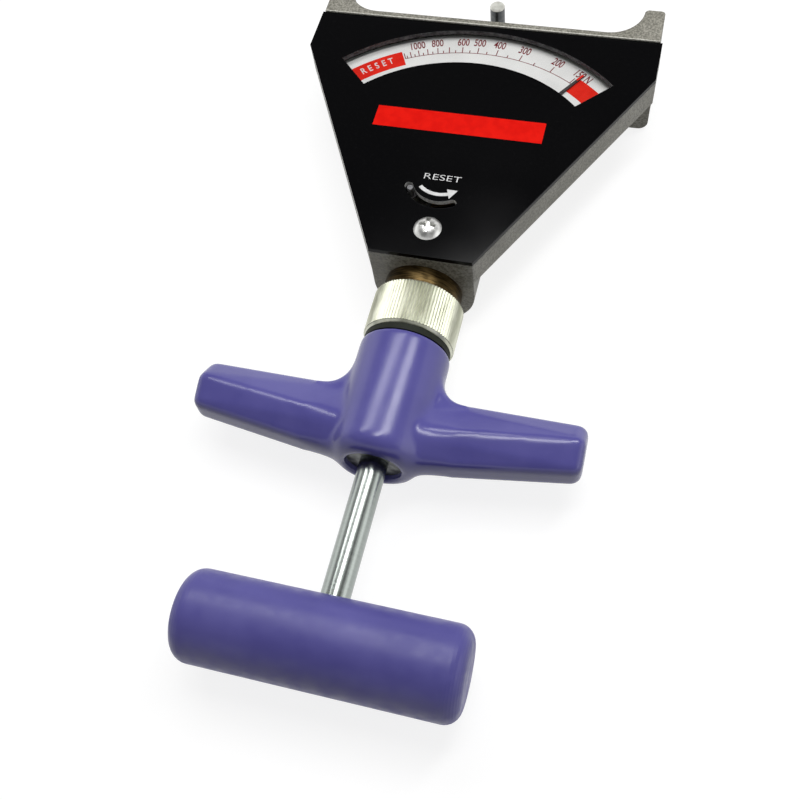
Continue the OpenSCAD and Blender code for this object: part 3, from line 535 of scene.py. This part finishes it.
# %% Panel print
ON_PANEL = PANEL_FACE + 0.01 * MM
BAR_HALF, BAR_TOP, BAR_LOW = 26.7, 39.1, 47.4
bar = [(-BAR_HALF * MM, PANEL_TOP - BAR_LOW * MM), (BAR_HALF * MM, PANEL_TOP - BAR_LOW * MM),
       (BAR_HALF * MM, PANEL_TOP - BAR_TOP * MM), (-BAR_HALF * MM, PANEL_TOP - BAR_TOP * MM)]
printed("red_bar", [bar], ON_PANEL, red_ink)
ARROW_R, ARROW_W, HEAD_W, ARROW_RISE = 8.4, 1.2, 3.7, 2.0
ARROW_TAIL, ARROW_NECK, ARROW_TIP = 224, 159, 137.5
shaft = band(ARROW_R - ARROW_W / 2, ARROW_R + ARROW_W / 2, ARROW_NECK, ARROW_TAIL)
head = [on_dial(ARROW_R + HEAD_W / 2, ARROW_NECK), on_dial(ARROW_R, ARROW_TIP),
        on_dial(ARROW_R - HEAD_W / 2, ARROW_NECK)]
arrow = [[(x, y + ARROW_RISE * MM) for x, y in outline] for outline in (shaft, head)]
printed("reset_arrow", arrow, ON_PANEL, white_ink)
WORD_H, WORD_DROP, WORD_WIDE, WORD_THIN = 2.2, 0.1, 1.42, -0.01
lettering("reset_word", "RESET", (0, PIVOT.y - WORD_DROP * MM), WORD_H, 0, white_ink, ON_PANEL + INK,
          width=WORD_WIDE, weight=WORD_THIN)
print("panel print done")

# %% [markdown]
# The needle is black so that it stands out on white, and its tip is dipped in red. The dipped end is a thin
# coat on the needle's upper face, so it is drawn along the needle at rest and rides with it.

# %% Red tip of the needle
POINTER_REST = 34.0
COAT_START, COAT_END, COAT_W = 3.2, 0.3, 0.72
pointer_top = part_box("pointer")[1].z
needle_tip_r = (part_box("pointer")[1].y - PIVOT.y) / math.cos(math.radians(POINTER_REST)) / MM
tip_coat = [stroke_at(POINTER_REST, needle_tip_r - COAT_START, needle_tip_r - COAT_END, COAT_W)]
printed("needle_tip", tip_coat, pointer_top, zone_ink, body="needle")
print("needle tip at radius", round(needle_tip_r, 1))

# %% [markdown]
# The T-handle is one moulding, so no sharp line shows where the wings meet the hub. It could be modelled with
# subdivision surfaces, but its solid already exists in the CAD model: a copy is rebuilt as an even skin of
# small squares and then relaxed. Some rounds everywhere take off the hard edges. Many more rounds at the wing
# roots only fill the inner corners the way a mould does, and fade out below the hub's top edge.


# %% Moulded skin of the handle
def even_skin(node, cell):
    """A copy of a node's mesh, rebuilt from small squares."""
    source = bpy.data.objects.new("skin_source", nodes[node].data.copy())
    bpy.context.scene.collection.objects.link(source)
    remesh = source.modifiers.new("even_skin", "REMESH")
    remesh.mode = "VOXEL"
    remesh.voxel_size = cell
    remesh.use_smooth_shade = True
    bpy.context.view_layer.update()
    mesh = bpy.data.meshes.new_from_object(source.evaluated_get(bpy.context.evaluated_depsgraph_get()))
    bpy.data.objects.remove(source)
    return mesh


def relax(skin, name, rounds, group=""):
    step = skin.modifiers.new(name, "SMOOTH")
    step.factor = 0.5
    step.iterations = rounds
    step.vertex_group = group


SKIN_CELL = 0.5 * MM
EDGE_ROUNDS, ROOT_ROUNDS = 18, 118
ROOT_X, ROOT_REACH = 15 * MM, 6.5 * MM
TOP_CLEAR, TOP_FADE = 5 * MM, 5 * MM
handle = bpy.data.objects.new("handle_moulding", even_skin("t_handle", SKIN_CELL))
bpy.context.scene.collection.objects.link(handle)
roots = handle.vertex_groups.new(name="wing_roots")
handle_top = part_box("t_handle")[1].y
for vertex in handle.data.vertices:
    across = 1 - (abs(abs(vertex.co.x) - ROOT_X) / ROOT_REACH) ** 2
    below_top = min(1, (handle_top - vertex.co.y - TOP_CLEAR) / TOP_FADE)
    if across > 0 and below_top > 0:
        roots.add([vertex.index], across * below_top, "REPLACE")
relax(handle, "soft_edges", EDGE_ROUNDS)
relax(handle, "root_fillets", ROOT_ROUNDS, "wing_roots")
handle.data.materials.clear()
handle.data.materials.append(violet)
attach(handle, "frame")
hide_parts("t_handle")
print("handle skin rebuilt from", len(handle.data.vertices), "points")

# %% [markdown]
# The main spring is squeezed when the grip is pulled in. It hides in the neck. A copy of its coil with a
# mesh of its own takes its place and rides with the frame, and the CAD node is hidden.

# %% Copy of the spring coil
coil = bpy.data.objects.new("main_spring_coil", nodes["main_spring"].data.copy())
bpy.context.scene.collection.objects.link(coil)
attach(coil, "frame")
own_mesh(coil)
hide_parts("main_spring")

# %% [markdown]
# The studio is a pale floor, a long soft lamp above the panel, a wide one beside it that draws the band of
# light along the grip, and weaker lamps at the left and the right. The floor glows for the camera and in
# reflections only, a little less near the tester, so it reads as white paper and still takes the shadow.

# %% Floor, world and lamps
PAPER_GREY, NEAR_GLOW, FAR_GLOW = 0.25, 0.84, 1.0
GLOW_NEAR, GLOW_FAR = 0.25, 0.8
WORLD_STRENGTH = 0.18


def white_floor():
    material = bpy.data.materials.new("white_paper")
    material.use_nodes = True
    tree = material.node_tree
    tree.nodes.clear()
    output = tree.nodes.new("ShaderNodeOutputMaterial")
    add = tree.nodes.new("ShaderNodeAddShader")
    paper = tree.nodes.new("ShaderNodeBsdfDiffuse")
    paper.inputs["Color"].default_value = (PAPER_GREY, PAPER_GREY, PAPER_GREY, 1)
    glow = tree.nodes.new("ShaderNodeEmission")
    path = tree.nodes.new("ShaderNodeLightPath").outputs
    mirrored = number_step(tree, "MAXIMUM", path["Is Glossy Ray"], path["Is Transmission Ray"])
    seen = number_step(tree, "MAXIMUM", path["Is Camera Ray"], mirrored)
    place = tree.nodes.new("ShaderNodeTexCoord")
    away = tree.nodes.new("ShaderNodeVectorMath")
    away.operation = "LENGTH"
    whiten = tree.nodes.new("ShaderNodeMapRange")
    whiten.interpolation_type = "SMOOTHSTEP"
    whiten.inputs["From Min"].default_value = GLOW_NEAR
    whiten.inputs["From Max"].default_value = GLOW_FAR
    whiten.inputs["To Min"].default_value = NEAR_GLOW
    whiten.inputs["To Max"].default_value = FAR_GLOW
    tree.links.new(place.outputs["Object"], away.inputs[0])
    tree.links.new(away.outputs["Value"], whiten.inputs["Value"])
    tree.links.new(number_step(tree, "MULTIPLY", seen, whiten.outputs["Result"]), glow.inputs["Strength"])
    tree.links.new(paper.outputs["BSDF"], add.inputs[0])
    tree.links.new(glow.outputs["Emission"], add.inputs[1])
    tree.links.new(add.outputs["Shader"], output.inputs["Surface"])
    return material


def softbox(name, place, target, width, height, power):
    lamp = bpy.data.lights.new(name, "AREA")
    lamp.shape = "RECTANGLE"
    lamp.size, lamp.size_y = width, height
    lamp.energy = power
    holder = bpy.data.objects.new(name, lamp)
    holder.location = place
    holder.rotation_euler = (Vector(target) - Vector(place)).to_track_quat("-Z", "Y").to_euler()
    bpy.context.scene.collection.objects.link(holder)


def paper_sweep():
    """A round sheet of paper whose rim bends up all round, so that no horizon shows from any side."""
    profile = [(3.0, 0.0), (3.4, 0.05), (3.7, 0.2), (3.9, 0.5), (4.0, 1.0), (4.0, 1.8)]
    around = 64
    points = [(r * math.cos(math.tau * i / around), r * math.sin(math.tau * i / around), z - 0.2 * MM)
              for r, z in profile for i in range(around)]
    faces = [list(range(around))]
    for ring in range(len(profile) - 1):
        for i in range(around):
            a, b = ring * around + i, ring * around + (i + 1) % around
            faces.append([a, a + around, b + around, b])
    mesh = bpy.data.meshes.new("paper_sweep")
    mesh.from_pydata(points, [], faces)
    mesh.materials.append(white_floor())
    sheet = bpy.data.objects.new("paper_sweep", mesh)
    bpy.context.scene.collection.objects.link(sheet)
    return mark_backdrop(sheet)


paper_sweep()

world = bpy.data.worlds.new("studio")
bpy.context.scene.world = world
world.use_nodes = True
backdrop = world.node_tree.nodes["Background"]
backdrop.inputs["Color"].default_value = (1, 1, 1, 1)
backdrop.inputs["Strength"].default_value = WORLD_STRENGTH

softbox("key_lamp", (0.1, 0.1, 0.44), (0, -0.01, 0.02), width=0.09, height=0.4, power=1.2)
softbox("wide_lamp", (-0.14, 0.17, 0.42), (0, -0.04, 0.02), width=0.36, height=0.08, power=0.7)
softbox("fill_lamp", (-0.5, 0.1, 0.2), (0, -0.03, 0.02), width=0.4, height=0.4, power=0.2)
softbox("side_lamp", (0.6, 0.0, 0.22), (0, 0.02, 0.02), width=0.5, height=0.5, power=0.55)

# %% [markdown]
# The camera stands where the photo was taken from: in front of the grip, a little to the right, looking down
# at the panel. Its place and direction were worked out from the corners of the panel and the edges of the rod.

# %% Camera
CAMERA_PLACE = Vector((0.0618, -0.16475, 0.2677))
CAMERA_LOOK = Vector((-0.2055, 0.4483, -0.8699)).normalized()
CAMERA_UP = Vector((-0.1673, 0.8597, 0.4826))
LENS_MM, SENSOR_MM, CLIP_START = 45.9, 36, 0.005
right = CAMERA_LOOK.cross(CAMERA_UP).normalized()
up = right.cross(CAMERA_LOOK)
camera = bpy.data.objects.new("camera", bpy.data.cameras.new("camera"))
camera.data.lens = LENS_MM
camera.data.sensor_width = SENSOR_MM
camera.data.clip_start = CLIP_START
facing = Matrix((right, up, -CAMERA_LOOK)).transposed().to_4x4()
camera.matrix_world = Matrix.Translation(CAMERA_PLACE) @ facing
bpy.context.scene.collection.objects.link(camera)
bpy.context.scene.camera = camera
bpy.context.scene.view_settings.view_transform = "Standard"
print("camera lens", camera.data.lens)
